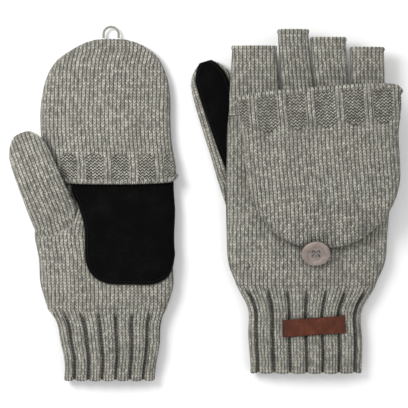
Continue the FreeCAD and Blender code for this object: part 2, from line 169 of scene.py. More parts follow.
def unevenness(u, v, size, seed):
    """Smooth noise of about -1 to 1 over (u, v), with features of about the given size."""
    dice = np.random.default_rng(seed)
    total = np.zeros_like(u)
    for _ in range(9):
        turn, phase = dice.uniform(0, 2 * math.pi, 2)
        k = 2 * math.pi / size * dice.uniform(0.5, 1.3)
        total += np.sin(k * (u * math.cos(turn) + v * math.sin(turn)) + phase)
    return total / 4.5


def plain_stitch(wale, course):
    """Columns of V-shaped stitches, 0 in the gaps to 1 on the yarn."""
    x = np.abs(wale - np.floor(wale) - 0.5)
    y = course - x * STITCH_SLANT
    y = y - np.floor(y)
    leg = (1 - (2 * x) ** 4) * (0.75 + 0.25 * smoothstep(x / 0.16))
    return leg * (0.4 + 0.6 * np.sin(math.pi * y) ** 0.8)


def purl_stitch(wale, course):
    """Rows of interlocking bumps: the back of the fabric."""
    return 0.5 - 0.5 * np.cos(2 * math.pi * (course + 0.30 * np.sin(2 * math.pi * wale)))


def stockinette(u, v, run):
    """A pattern gives the height over (u, v), the painted shade that darkens its grooves there, and how
    purled the knit is there.
    """
    return RELIEF * plain_stitch(u / WALE, v / COURSE), 0 * u, 0 * u


def wide_rib(pitch, phase):
    """Knit ribs between narrow purl grooves, which fade out where the cuff turns into the hand."""
    def pattern(u, v, run):
        x = np.abs((u / pitch + phase) % 1 - 0.5) * pitch
        groove = smoothstep((x - (pitch - RIB_GROOVE) / 2 + 0.7 * MM) / (1.4 * MM))
        groove = groove * smoothstep((1.0 - run) / 0.14)
        crown = 0.5 * MM * np.cos(math.pi * np.clip(x / (pitch / 2), 0, 1)) * smoothstep((1.0 - run) / 0.14)
        knit = plain_stitch(u / WALE, v / COURSE)
        # Painted shade darkens the purl grooves.
        return RELIEF * knit * (1 - 0.8 * groove) + crown - RIB_DEEP * groove, 0.75 * groove, 0 * u
    return pattern


def rim_rib(pitch, phase):
    """Narrow knit columns between wide purl fields, each of which ends in an arc on the cap's side."""
    def pattern(u, v, run):
        x = np.abs((u / pitch + phase) % 1 - 0.5) * pitch
        over = np.clip((x - BAND_COLUMN / 2) / (pitch / 2 - BAND_COLUMN / 2), 0, 1)
        arc = 0.80 + 0.14 * np.sin(math.pi / 2 * over)
        field = smoothstep((x - BAND_COLUMN / 2 + 0.5 * MM) / (1.4 * MM))
        below = smoothstep((arc - run) / 0.06)
        field = field * below * smoothstep((run - 0.06) / 0.05)
        # border is a painted shadow line along the arc where each purl field ends.
        border = 4 * below * (1 - below) * smoothstep((x - BAND_COLUMN / 2 + 1.5 * MM) / (3 * MM))
        knit = plain_stitch(u / WALE, v / COURSE)
        purl = purl_stitch(u / WALE, v / COURSE)
        height = RELIEF * (knit * (1 - field) + 1.1 * purl * field)
        return height + (0.45 - 0.95 * field) * below * MM, 0.55 * border, field
    return pattern


# ---------------------------------------------------------------- mesh making
def mesh_object(name, verts, quads, uvs=None, **values):
    """A smooth mesh of quads, with stitch coordinates per corner and named values per point."""
    mesh = bpy.data.meshes.new(name)
    verts, quads = np.asarray(verts, np.float32), np.asarray(quads, np.int32)
    mesh.vertices.add(len(verts))
    mesh.vertices.foreach_set("co", verts.ravel())
    mesh.loops.add(quads.size)
    mesh.loops.foreach_set("vertex_index", quads.ravel())
    mesh.polygons.add(len(quads))
    mesh.polygons.foreach_set("loop_start", np.arange(0, quads.size, 4, dtype=np.int32))
    mesh.polygons.foreach_set("use_smooth", np.ones(len(quads), bool))
    mesh.update(calc_edges=True)
    if uvs is not None:
        layer = mesh.uv_layers.new(name="stitches")
        layer.data.foreach_set("uv", np.asarray(uvs, np.float32).ravel())
    for key, value in values.items():
        attribute = mesh.attributes.new(key, "FLOAT", "POINT")
        attribute.data.foreach_set("value", np.asarray(value, np.float32))
    mesh.validate()
    obj = bpy.data.objects.new(name, mesh)
    bpy.context.collection.objects.link(obj)
    return obj


class Knit:
    """A flat-lying knitted tube, or its upper half only, over the skin from station s0 to s1."""

    def __init__(self, skin, s0, s1, closed_tip=False, half=False, fan=False, rim=None,
                 close_end=False, root=None):
        self.skin, self.s0, self.s1 = skin, s0, s1
        self.closed_tip, self.half, self.close_end = closed_tip, half, close_end
        stations = self.stations()
        if rim is not None:
            flat, lengths, start = rim.sections(stations)
        else:
            pairs = [skin.section(s) for s in stations]
            flat = np.array([[line for line, _ in pair] for pair in pairs])
            lengths = np.array([[length for _, length in pair] for pair in pairs])
            start = None
        if root is not None:
            stations, flat, lengths = self.rooted(stations, flat, lengths, *root)
            self.s0 = stations[0]
        flat = softened(flat, 2, 0)
        columns = max(8, round(lengths.max() / CELL))
        self.columns = columns
        self.count = columns + 1 if half else 2 * columns
        share = np.linspace(0, 1, columns + 1)
        halves = []
        for i in range(2):
            grid = flat[:, i].transpose(1, 0, 2)
            at = np.repeat(share[:, None] * (COLUMNS - 1), grid.shape[1], 1)
            halves.append(cubic(grid, at).transpose(1, 0, 2))
        if half:
            ring = halves[0]
            self.side = np.zeros(self.count, int)
            self.share = share - 0.5
        else:
            ring = np.concatenate([halves[0][:, :-1], halves[1][:, :0:-1]], 1)
            self.side = np.repeat([0, 1], columns)
            self.share = np.concatenate([share[:-1] - 0.5, 0.5 - share[:-1]])
        run = np.concatenate([[0], np.cumsum(np.hypot(np.diff(stations), self.tip_steps(flat)))])
        rows = round(run[-1] / CELL) + 1
        at = np.interp(np.linspace(0, run[-1], rows), run, np.arange(len(run)))
        at = at[:, None] + np.zeros(self.count)
        if start is not None:
            column = (self.share + 0.5) * (COLUMNS - 1)
            begin = [np.interp(column, np.arange(COLUMNS), line) for line in start]
            mouth = np.where(self.side == 0, begin[0], begin[1])
            low = np.interp(mouth, stations, np.arange(len(stations)))
            at = low[None] + (at - at[:1]) * ((at[-1:] - low[None]) / (at[-1:] - at[:1]))
        self.rows = rows
        flat = cubic(ring, at)
        self.station = np.interp(at, np.arange(len(stations)), stations)
        fine = np.interp(at, np.arange(len(stations)), lengths[:, 0])
        under = np.interp(at, np.arange(len(stations)), lengths[:, 1])
        self.length = np.where(self.side[None] == 0, fine, under)
        if fan:
            upper, lower = lengths.max(0)
            self.length = np.where(self.side[None] == 0, upper, lower) + 0 * fine
        if closed_tip:
            self.station = cubic(np.repeat(stations[:, None, None], self.count, 1), at)[..., 0]
        local = np.stack([flat[..., 0], self.station, flat[..., 1]], 2)
        self.base = local @ skin.basis

    def stations(self):
        s0, s1 = self.s0, self.s1
        if not self.closed_tip:
            return np.linspace(s0, s1, max(5, round((s1 - s0) / SECTION_STEP) + 1))
        tip = s1 - 16 * MM
        straight = np.linspace(s0, tip, max(4, round((tip - s0) / SECTION_STEP)))
        turn = np.linspace(0, math.pi / 2, 13)[1:]
        return np.concatenate([straight, tip + (s1 - tip) * np.sin(turn)])

    @staticmethod
    def rooted(stations, flat, lengths, shown, whole, reach):
        """Carries a thumb's root on into the hand.

        shown is the face, 0 upper or 1 lower, that the CAD piece keeps right to its root.  Up to the
        station where the section is whole the other face follows it.  Before the first station both faces
        sink by reach.
        """
        first = int(np.searchsorted(stations, stations[0] + whole))
        other = 1 - shown
        sink = (-1, 1)[shown]
        for i in range(first):
            drop = flat[i, shown, COLUMNS // 2, 1] - flat[first, shown, COLUMNS // 2, 1]
            width = np.ptp(flat[i, shown, (0, -1), 0]) / np.ptp(flat[first, shown, (0, -1), 0])
            spread = flat[first, other, :, 0] - flat[first, other, 0, 0]
            flat[i, other, :, 1] = flat[first, other, :, 1] + drop
            flat[i, other, :, 0] = flat[i, shown, 0, 0] + spread * width
        steps = np.arange(-ROOT_STEPS, 0)
        added = np.repeat(flat[:1], len(steps), 0)
        added[..., 1] += sink * (reach * (steps / -ROOT_STEPS) ** 1.3)[:, None, None]
        return (np.concatenate([stations[0] + steps * SECTION_STEP, stations]),
                np.concatenate([added, flat]),
                np.concatenate([np.repeat(lengths[:1], ROOT_STEPS, 0), lengths]))

    def tip_steps(self, flat):
        """How much the section's half width changes between stations, which matters round a tip."""
        half = (flat[:, 0, -1, 0] - flat[:, 0, 0, 0]) / 2
        return np.diff(half) * (1.0 if self.closed_tip else 0.0)

    def normals(self, points):
        along = np.gradient(points, axis=0)
        if self.half:
            around = np.gradient(points, axis=1)
        else:
            around = (np.roll(points, -1, 1) - np.roll(points, 1, 1)) / 2
        normal = np.cross(around, along)
        normal /= np.linalg.norm(normal, axis=2, keepdims=True) + 1e-12
        facing = normal[self.rows // 2, self.columns // 2] @ np.array(self.skin.up)
        return normal * (1 if facing > 0 else -1)

    def make(self, name, pattern, wall=WALL, origin=0.0, ends=(0.0, 0.0), roll=(0.0, 0.0), bulge=0.2 * MM,
             seed=1, thick_end=(True, True)):
        """The tube's mesh: an outer face with the pattern's relief, a plain inner face, rounded open ends.

        ends raises or lowers the outer face at each end, and roll adds the bound-off edge's thickness.
        """
        rows, count, columns = self.rows, self.count, self.columns
        u = self.share[None] * self.length
        v = self.station - origin
        side_edge = np.abs(self.share)[None] * 2 + 0 * u
        run = np.clip((self.station - self.station[:1]) / (self.station[-1:] - self.station[:1]), 0, 1)
        seed_u = 0.30 * MM * unevenness(u, v, 26 * MM, seed)
        seed_v = 0.35 * MM * unevenness(u, v, 34 * MM, seed + 1)
        height, dark, purl = pattern(u + seed_u, v + seed_v, run)
        if not self.half:
            height = height * (1 - 0.6 * smoothstep((side_edge - 0.96) / 0.04))
        if self.closed_tip:
            height = height * smoothstep((1 - run) / 0.01)
        # Painted shade darkens the tube's folded side edges, as in a crease.
        if not self.half:
            dark = np.maximum(dark, 0.45 * smoothstep((side_edge - 0.93) / 0.07))
        height = height - RELIEF + bulge * unevenness(u + 0.3 * self.side, v, 42 * MM, seed + 2)
        for end in (0, 1):
            distance = np.abs(self.station - self.station[(0, -1)[end]])
            near = 1 - smoothstep(distance / (4.5 * MM))
            height = height + ends[end] * near
            lip = np.clip(distance / (3.2 * MM), 0, 1)
            rounded = np.sin(math.pi * np.clip(lip + 0.25, 0, 1)) * (distance < 3.2 * MM)
            height = height + roll[end] * rounded
        normal = self.normals(self.base)
        points = self.base + normal * height[..., None]
        self.outer = points

        picked = np.unique(np.append(np.arange(0, rows, INNER_STEP), rows - 1))
        inner = self.base[picked] - normal[picked] * (wall + 0.3 * MM)
        verts = [points.reshape(-1, 3), inner.reshape(-1, 3)]
        # Painted shade per point: the pattern's own on the outer face, and a fixed 0.6 on the inner face
        # for the shaded inside of the tube.
        painted_shades = [dark.ravel(), np.full(inner.shape[0] * count, 0.6)]
        purls = [purl.ravel(), np.ones(inner.shape[0] * count)]
        self.quads, self.corners = [], []
        width = self.length / WALE
        step = 1.0 / columns
        turn = np.where(self.side == 0, 1, -1)
        ua = self.share[None] * width
        ub = (self.share + step * turn)[None] * width
        vv = v / COURSE
        k = np.arange(columns if self.half else count)
        following = k + 1 if self.half else (k + 1) % count

        def band(first, second, row_a, row_b):
            self.quads.append(np.stack([first + k, first + following, second + following, second + k], 1))
            self.corners.append(np.stack([
                ua[row_a, k], vv[row_a, k], ub[row_a, k], vv[row_a, following],
                ub[row_b, k], vv[row_b, following], ua[row_b, k], vv[row_b, k]], 1).reshape(-1, 4, 2))

        for r in range(rows - 1):
            band(r * count, (r + 1) * count, r, r + 1)
        inner_start = rows * count
        for i in range(len(picked) - 1):
            a, b = inner_start + i * count, inner_start + (i + 1) * count
            band(b, a, picked[i + 1], picked[i])
        total = inner_start + inner.shape[0] * count
        for end in (0, 1):
            if self.closed_tip and end == 1:
                self.close_tip((rows - 1) * count, ua, vv)
                continue
            row = (0, rows - 1)[end]
            outer_ring, inner_ring = row * count, inner_start + (0, len(picked) - 1)[end] * count
            outward = np.array(self.skin.along) * (-1, 1)[end]
            a, b = points[row], inner[(0, -1)[end]]
            middle = (a + b) / 2
            radius = np.linalg.norm(a - b, axis=1, keepdims=True) / 2
            chain = [outer_ring]
            if end == 1 and self.close_end:
                self.close_tip((rows - 1) * count, ua, vv)
                continue
            steps = 5 if thick_end[end] else 1
            for i in range(1, steps):
                angle = math.pi * i / steps
                bumps = 0.25 * MM * np.cos(2 * math.pi * u[row] / WALE)[:, None]
                ring = middle + (a - middle) * math.cos(angle) + \
                    outward[None] * (radius * 0.9 + bumps) * math.sin(angle)
                verts.append(ring)
                # Painted shade in the dips between the bumps of the rolled edge.
                painted_shades.append(0.15 - 0.15 * np.cos(2 * math.pi * u[row] / WALE))
                purls.append(np.zeros(count))
                chain.append(total)
                total += count
            chain.append(inner_ring)
            for first, second in zip(chain, chain[1:]):
                band(*((second, first) if end == 0 else (first, second)), row, row)
        quads, corners = np.concatenate(self.quads), np.concatenate(self.corners)
        if self.half:
            quads, corners = self.close_sides(quads, corners, picked, inner_start, ua, vv)
        return mesh_object(name, np.concatenate(verts), quads, corners, dark=np.concatenate(painted_shades),
                           purl=np.concatenate(purls))

    def close_tip(self, start, ua, vv):
        """Joins the last ring's upper and lower half, which lie close together."""
        i = np.arange(1, self.columns - 1)
        far = self.count - i
        self.quads.append(np.stack([start + i, start + i + 1, start + far - 1, start + far], 1))
        last = self.rows - 1
        corner = np.stack([ua[last, i], vv[last, i]], 1)
        self.corners.append(np.repeat(corner[:, None], 4, 1))

    def close_sides(self, quads, corners, picked, inner_start, ua, vv):
        """Ties a half tube's outer and inner face together along its two side edges."""
        added, spots = [], []
        for column, flip in ((0, False), (self.count - 1, True)):
            for i in range(len(picked) - 1):
                inner_a = inner_start + i * self.count + column
                inner_b = inner_start + (i + 1) * self.count + column
                row = picked[i] + (picked[i + 1] - picked[i] + 1) // 2 - 1
                quad = [row * self.count + column, (row + 1) * self.count + column, inner_b, inner_a]
                added.append(quad[::-1] if flip else quad)
                spots.append([[ua[row, column], vv[row, column]]] * 4)
        return np.concatenate([quads, np.array(added)]), np.concatenate([corners, np.array(spots)])


# ---------------------------------------------------------------- materials
def new_material(name):
    material = bpy.data.materials.new(name)
    material.use_nodes = True
    tree = material.node_tree
    return material, tree, tree.nodes["Principled BSDF"]


class Graph:
    """Short ways to add shader nodes and join them."""

    def __init__(self, tree):
        self.tree = tree

    def put(self, kind, **settings):
        node = self.tree.nodes.new(kind)
        for key, value in settings.items():
            setattr(node, key, value)
        return node

    def join(self, source, target):
        self.tree.links.new(source, target)

    def math(self, operation, a, b=None, clamp=False):
        node = self.put("ShaderNodeMath", operation=operation, use_clamp=clamp)
        for socket, value in zip(node.inputs, (a, b)):
            if value is None:
                continue
            if isinstance(value, (int, float)):
                socket.default_value = value
            else:
                self.join(value, socket)
        return node.outputs[0]

    def combine(self, x, y, z=0.0):
        node = self.put("ShaderNodeCombineXYZ")
        for socket, value in zip(node.inputs, (x, y, z)):
            if isinstance(value, (int, float)):
                socket.default_value = value
            else:
                self.join(value, socket)
        return node.outputs[0]

    def noise(self, vector, scale, detail=2.0, rough=0.5):
        node = self.put("ShaderNodeTexNoise")
        node.inputs["Scale"].default_value = scale
        node.inputs["Detail"].default_value = detail
        node.inputs["Roughness"].default_value = rough
        self.join(vector, node.inputs["Vector"])
        return node.outputs["Fac"]

    def ramp(self, value, stops, interpolation="LINEAR"):
        node = self.put("ShaderNodeValToRGB")
        node.color_ramp.interpolation = interpolation
        elements = node.color_ramp.elements
        while len(elements) < len(stops):
            elements.new(0.5)
        for element, (position, colour) in zip(elements, stops):
            element.position = position
            element.color = (*colour, 1)
        self.join(value, node.inputs["Fac"])
        return node.outputs["Color"]

    def mix(self, factor, a, b, blend="MIX"):
        node = self.put("ShaderNodeMix", data_type="RGBA", blend_type=blend)
        for key, value in (("Factor", factor), ("A", a), ("B", b)):
            socket = node.inputs[key]
            if isinstance(value, (int, float)):
                socket.default_value = value
            elif isinstance(value, tuple):
                socket.default_value = (*value, 1)
            else:
                self.join(value, socket)
        return node.outputs["Result"]

    def bump(self, height, distance, strength, normal=None):
        node = self.put("ShaderNodeBump")
        node.inputs["Distance"].default_value = distance
        node.inputs["Strength"].default_value = strength
        self.join(height, node.inputs["Height"])
        if normal is not None:
            self.join(normal, node.inputs["Normal"])
        return node.outputs["Normal"]

    def place(self):
        return self.put("ShaderNodeTexCoord").outputs["Object"]

    def attribute(self, name):
        return self.put("ShaderNodeAttribute", attribute_name=name).outputs["Fac"]


def wool(name, seed=0.0):
    """Ragg wool: each leg of each stitch has its own shade of grey, from light greige to charcoal."""
    material, tree, shader = new_material(name)
    g = Graph(tree)
    uv = g.put("ShaderNodeUVMap", uv_map="stitches")
    split = g.put("ShaderNodeSeparateXYZ")
    g.join(uv.outputs["UV"], split.inputs[0])
    wale, course = split.outputs[0], split.outputs[1]
    x = g.math("ABSOLUTE", g.math("SUBTRACT", g.math("FRACT", wale), 0.5))
    along = g.math("SUBTRACT", course, g.math("MULTIPLY", x, STITCH_SLANT))
    side = g.math("SUBTRACT", 1.0, g.math("POWER", g.math("MULTIPLY", x, 2.0), 3.5), clamp=True)
    crease = g.math("ADD", g.math("MULTIPLY", g.math("MULTIPLY", x, 6.5, clamp=True), 0.28), 0.72)
    leg = g.math("MULTIPLY", side, crease)
    reach = g.math("POWER", g.math("SINE", g.math("MULTIPLY", g.math("FRACT", along), math.pi)), 0.6)
    knit = g.math("MULTIPLY", leg, g.math("ADD", g.math("MULTIPLY", reach, 0.80), 0.20))
    swing = g.math("MULTIPLY", g.math("SINE", g.math("MULTIPLY", wale, 2 * math.pi)), 0.30)
    ridge = g.math("ADD", course, swing)
    wave = g.math("COSINE", g.math("MULTIPLY", ridge, 2 * math.pi))
    purl = g.math("ADD", g.math("MULTIPLY", wave, -0.45), 0.5)
    purled = g.attribute("purl")
    profile = g.math("ADD", g.math("MULTIPLY", knit, g.math("SUBTRACT", 1.0, purled)),
                     g.math("MULTIPLY", purl, purled))

    dice = g.put("ShaderNodeTexWhiteNoise", noise_dimensions="3D")
    g.join(g.combine(g.math("FLOOR", g.math("MULTIPLY", wale, 2.0)), g.math("FLOOR", along), seed),
           dice.inputs["Vector"])
    plies = g.combine(g.math("MULTIPLY", wale, 2.4), g.math("MULTIPLY", along, 2.0), seed)
    ply = g.noise(plies, 1.9, 3.0, 0.7)
    cloud = g.noise(g.place(), 60.0, 2.0, 0.5)
    tone = g.math("ADD", g.math("MULTIPLY", dice.outputs["Value"], 0.42),
                  g.math("ADD", g.math("MULTIPLY", g.math("SUBTRACT", ply, 0.5), 1.3), 0.30))
    tone = g.math("ADD", tone, g.math("MULTIPLY", g.math("SUBTRACT", cloud, 0.5), 0.22), clamp=True)
    colour = g.ramp(tone, [(0.0, (0.070, 0.066, 0.058)), (0.30, (0.175, 0.168, 0.146)),
                           (0.62, (0.325, 0.312, 0.268)), (1.0, (0.66, 0.635, 0.545))])
    tint = g.noise(g.place(), 38.0, 1.0, 0.5)
    colour = g.mix(g.math("MULTIPLY", tint, 0.5), colour, (0.93, 0.97, 1.0), "MULTIPLY")
    fibre = g.noise(g.place(), 2600.0, 3.0, 0.7)
    shade = g.math("ADD", g.math("MULTIPLY", fibre, 0.5), 0.75)
    # Painted shade: the stitch profile darkens the colour in the gaps between legs and in the purl troughs,
    # and the painted shade stored on the mesh darkens it further.
    shade = g.math("MULTIPLY", shade, g.math("ADD", g.math("MULTIPLY", profile, 1.30), -0.02))
    shade = g.math("MULTIPLY", shade, g.math("SUBTRACT", 1.0, g.attribute("dark")))
    # Painted crease shade: ambient occlusion darkens the base colour in creases and between parts.
    open_sky = g.put("ShaderNodeAmbientOcclusion", samples=6)
    open_sky.inputs["Distance"].default_value = 7 * MM
    lit = g.math("POWER", open_sky.outputs["AO"], 1.3)
    shade = g.math("MULTIPLY", shade, g.math("ADD", g.math("MULTIPLY", lit, 1.10), 0.10))
    g.join(g.mix(1.0, colour, g.combine(shade, shade, shade), "MULTIPLY"), shader.inputs["Base Color"])
    twist = g.math("SINE", g.math("MULTIPLY", g.math("ADD", g.math("MULTIPLY", along, 2.0),
                                                     g.math("MULTIPLY", x, 4.0)), 2 * math.pi))
    height = g.math("ADD", g.math("MULTIPLY", twist, 0.15), g.math("MULTIPLY", fibre, 0.8))
    g.join(g.bump(g.math("ADD", height, profile), 0.45 * MM, 0.8), shader.inputs["Normal"])
    shader.inputs["Roughness"].default_value = 0.95
    shader.inputs["Specular IOR Level"].default_value = 0.2
    shader.inputs["Sheen Weight"].default_value = 0.15
    shader.inputs["Sheen Roughness"].default_value = 0.6
    shader.inputs["Sheen Tint"].default_value = (0.9, 0.88, 0.82, 1)
    return material


def suede(name):
    """Black suede: a short nap brushed in patches, fine creases, and a lighter rubbed edge."""
    material, tree, shader = new_material(name)
    g = Graph(tree)
    nap = g.noise(g.place(), 900.0, 5.0, 0.75)
    brushed = g.noise(g.place(), 70.0, 3.0, 0.6)
    tone = g.math("ADD", g.math("MULTIPLY", nap, 0.55), g.math("MULTIPLY", brushed, 0.45))
    colour = g.ramp(tone, [(0.30, (0.0012, 0.0012, 0.0012)), (0.52, (0.0026, 0.0026, 0.0025)),
                           (0.75, (0.0075, 0.0073, 0.0070))])
    colour = g.mix(g.math("MULTIPLY", g.attribute("edge_wear_and_shade"), nap), colour, (0.11, 0.105, 0.10))
    g.join(colour, shader.inputs["Base Color"])
    fine = g.bump(nap, 0.30 * MM, 0.7)
    g.join(g.bump(brushed, 1.2 * MM, 0.35, fine), shader.inputs["Normal"])
    shader.inputs["Roughness"].default_value = 0.93
    shader.inputs["Specular IOR Level"].default_value = 0.04
    shader.inputs["Sheen Weight"].default_value = 0.012
    shader.inputs["Sheen Roughness"].default_value = 0.4
    return material


def leather(name):
    """Red-brown leather with a pebbled grain and a clouded tone, with painted shade darkening its edges
    where they round down.
    """
    material, tree, shader = new_material(name)
    g = Graph(tree)
    cells = g.put("ShaderNodeTexVoronoi", feature="DISTANCE_TO_EDGE")
    cells.inputs["Scale"].default_value = 1100.0
    g.join(g.place(), cells.inputs["Vector"])
    grain = g.math("MINIMUM", g.math("MULTIPLY", cells.outputs["Distance"], 3.0), 1.0)
    cloud = g.noise(g.place(), 120.0, 4.0, 0.6)
    colour = g.ramp(cloud, [(0.30, (0.062, 0.014, 0.006)), (0.55, (0.105, 0.026, 0.011)),
                            (0.75, (0.160, 0.045, 0.021))])
    # Painted shade from the mesh darkens the rounded-down edges.
    shade = g.math("MULTIPLY", g.math("SUBTRACT", 1.0, g.attribute("dark")),
                   g.math("ADD", g.math("MULTIPLY", grain, 0.25), 0.75))
    g.join(g.mix(1.0, colour, g.combine(shade, shade, shade), "MULTIPLY"), shader.inputs["Base Color"])
    shader.inputs["Specular IOR Level"].default_value = 0.22
    rough = g.math("ADD", g.math("MULTIPLY", cloud, 0.25), 0.50)
    g.join(rough, shader.inputs["Roughness"])
    g.join(g.bump(grain, 0.15 * MM, 0.6), shader.inputs["Normal"])
    return material


def plastic(name):
    """Taupe button plastic, marbled like horn, with a satin face."""
    material, tree, shader = new_material(name)
    g = Graph(tree)
    swirl = g.put("ShaderNodeTexWave", wave_type="RINGS")
    swirl.inputs["Scale"].default_value = 90.0
    swirl.inputs["Distortion"].default_value = 9.0
    swirl.inputs["Detail"].default_value = 4.0
    g.join(g.place(), swirl.inputs["Vector"])
    cloud = g.noise(g.place(), 260.0, 4.0, 0.6)
    value = g.math("ADD", g.math("MULTIPLY", swirl.outputs["Fac"], 0.2), g.math("MULTIPLY", cloud, 0.8))
    colour = g.ramp(value, [(0.25, (0.21, 0.168, 0.145)), (0.50, (0.265, 0.215, 0.188)),
                            (0.80, (0.33, 0.275, 0.245))])
    g.join(colour, shader.inputs["Base Color"])
    g.join(g.math("ADD", g.math("MULTIPLY", cloud, 0.2), 0.32), shader.inputs["Roughness"])
    g.join(g.bump(cloud, 0.1 * MM, 0.25), shader.inputs["Normal"])
    shader.inputs["Coat Weight"].default_value = 0.15
    return material


def thread(name, colour, pale):
    """Twisted thread: the strands are drawn by slanting waves over the stitch."""
    material, tree, shader = new_material(name)
    g = Graph(tree)
    strands = g.put("ShaderNodeTexWave", bands_direction="DIAGONAL")
    strands.inputs["Scale"].default_value = 900.0
    strands.inputs["Distortion"].default_value = 2.0
    g.join(g.place(), strands.inputs["Vector"])
    fluff = g.noise(g.place(), 2000.0, 3.0, 0.7)
    value = g.math("ADD", g.math("MULTIPLY", strands.outputs["Fac"], 0.5), g.math("MULTIPLY", fluff, 0.5))
    g.join(g.ramp(value, [(0.25, colour), (0.75, pale)]), shader.inputs["Base Color"])
    g.join(g.bump(value, 0.2 * MM, 0.6), shader.inputs["Normal"])
    shader.inputs["Roughness"].default_value = 0.8
    shader.inputs["Specular IOR Level"].default_value = 0.15
    return material


materials = {
    "wool_knit": wool("wool_knit"),
    "rib_knit": wool("rib_knit", seed=3.0),
    "rim_knit": wool("rim_knit", seed=7.0),
    "suede": suede("suede"),
    "label_leather": leather("label_leather"),
    "button_plastic": plastic("button_plastic"),
    "button_thread": thread("button_thread", (0.10, 0.10, 0.10), (0.34, 0.33, 0.32)),
    "stitching_thread": thread("stitching_thread", (0.0012, 0.0012, 0.0012), (0.008, 0.008, 0.008)),
    "wool_yarn": thread("wool_yarn", (0.13, 0.125, 0.11), (0.42, 0.40, 0.35)),
    "label_thread": thread("label_thread", (0.030, 0.012, 0.008), (0.14, 0.06, 0.04)),
}


def dress(obj, slot, *replaced, finish=None):
    """Gives a piece its material slot, and its place instead of the CAD nodes that it stands for.

    finish is the material's name where it isn't the slot's own.
    """
    obj.data.materials.clear()
    obj.data.materials.append(materials[finish or slot])
    if replaced:
        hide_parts(*replaced)
    return obj


# ---------------------------------------------------------------- the knitted pieces
TILT = math.radians(4.5)                     # the folded cap lies this far askew
UP_ROW = (0, 1, 0)
BACK_ROW = (math.sin(TILT), -math.cos(TILT), 0)
THUMB_LEAN = {"left": math.radians(22.0), "right": math.radians(16.7)}
SUEDE = 0.9 * MM                             # thickness of the patches
LEATHER = 1.1 * MM                           # thickness of the labels
SHEET_EDGE = 0.45 * MM                       # how far a sheet's edge is rounded down
SHEET_POINTS = 360                           # mesh points round a sheet's edge
SEAM_IN = 1.6 * MM                           # from a sheet's edge to its stitched channel
PUCKER_PITCH = 4.2 * MM                      # one stitch of that seam
joints = {joint["name"]: joint for joint in frame["joints"]}


def turned_row(turn):
    """The direction along a piece that leans by turn from straight up the row."""
    return (-math.sin(turn), math.cos(turn), 0)


def tube(node, slot, pattern, body, along=UP_ROW, trim=(0.0, 0.0), **facts):
    """A knitted tube over one CAD node, which it replaces."""
    skin = Skin([node], along, bridged=facts.pop("bridged", False))
    shape = {key: facts.pop(key) for key in ("closed_tip", "fan", "close_end", "root") if key in facts}
    knit = Knit(skin, skin.low[1] + trim[0], skin.high[1] - trim[1], **shape)
    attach(dress(knit.make(node, pattern, **facts), slot, node), body)


class Rim:
    """The slanting mouth of a cap: low on the palm side, at the fold line on the back."""

    def __init__(self, side, along, band_only):
        cap, band = f"{side}_cap", f"{side}_cap_rim_band"
        self.skin = Skin([cap, band], along)
        self.band_only = band_only
        hinge = Vector(joints[f"{side}_cap_flip"]["pos_m"])
        self.fold, self.fold_height = hinge.dot(self.skin.along), hinge.z
        band_skin = Skin([band], along)
        self.low, self.top = band_skin.low[1], band_skin.high[1]
        self.tip = self.skin.high[1]
        middle = (self.skin.low[0] + self.skin.high[0]) / 2
        self.height = self.skin.height(middle, self.low + 2 * MM, 1)

    def station(self, height):
        """Where the mouth's edge lies for a point of that height."""
        slope = (self.low - self.fold) / (self.height - self.fold_height)
        return self.fold + slope * (height - self.fold_height)

    def sections(self, stations):
        """The section grid, with heights carried on past the mouth's edge, and each column's start."""
        skin = self.skin
        full = self.fold + 4 * MM
        reference = skin.section(full)
        level = (reference[0][0][0, 1] + reference[0][0][-1, 1]) / 2
        side = self.station(level)
        beyond = skin.section(side + 1.5 * MM)
        flat = np.zeros((len(stations), 2, COLUMNS, 2))
        lengths = np.zeros((len(stations), 2))
        begin = np.full((2, COLUMNS), side)
        for i in range(len(stations) - 1, -1, -1):
            s = stations[i]
            pair = skin.section(max(s, side + 1.5 * MM))
            for half in (0, 1):
                line, lengths[i, half] = pair[half]
                partial = s < side + 1.5 * MM if half == 0 else s < full
                if partial and half == 1:
                    old = reference[1][0]
                    share = (old[:, 0] - old[0, 0]) / (old[-1, 0] - old[0, 0])
                    top = beyond[0][0] if s < side + 1.5 * MM else pair[0][0]
                    line = np.stack([top[0, 0] + share * (top[-1, 0] - top[0, 0]), old[:, 1]], 1)
                if partial:
                    line = line.copy()
                    for column in range(COLUMNS):
                        h = skin.height(line[column, 0], s, 1 - 2 * half)
                        found = h is not None and (h - level) * (1 - 2 * half) > 0
                        if found and column not in (0, COLUMNS - 1):
                            line[column, 1] = h
                            begin[half, column] = self.station(h)
                        elif i + 1 < len(stations):
                            line[column, 1] = flat[i + 1, half, column, 1]
                flat[i, half] = line
        begin[:, 0] = begin[:, -1] = side
        begin = softened(np.clip(begin, self.low, self.fold), 2, 1)
        if self.band_only:
            begin = self.low + (begin - self.low) * 0.4
        else:
            share = np.abs(np.linspace(-0.5, 0.5, COLUMNS))
            begin[0] += (self.top - 1.5 * MM - begin[0]) * smoothstep((0.5 - share) / 0.07)
        return flat, lengths, begin


def cap_and_band(side, along, pitch, phase, seed):
    """The cap over the fingers, and the ribbed band along its rim on the palm side."""
    rim = Rim(side, along, False)
    knit = Knit(rim.skin, rim.low, rim.tip, closed_tip=True, rim=rim)
    cap = knit.make(f"{side}_cap", stockinette, origin=rim.top, ends=(-0.5 * MM, 0), seed=seed)
    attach(dress(cap, "wool_knit", f"{side}_cap"), f"{side}_cap")
    rim = Rim(side, along, True)
    knit = Knit(rim.skin, rim.low, rim.top + 1.2 * MM, half=True, rim=rim)
    band = knit.make(f"{side}_cap_rim_band", rim_rib(pitch, phase), origin=rim.top, roll=(0.8 * MM, 0),
                     ends=(0.2 * MM, -0.35 * MM), seed=seed + 5, thick_end=(True, False))
    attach(dress(band, "rim_knit", f"{side}_cap_rim_band"), f"{side}_cap")


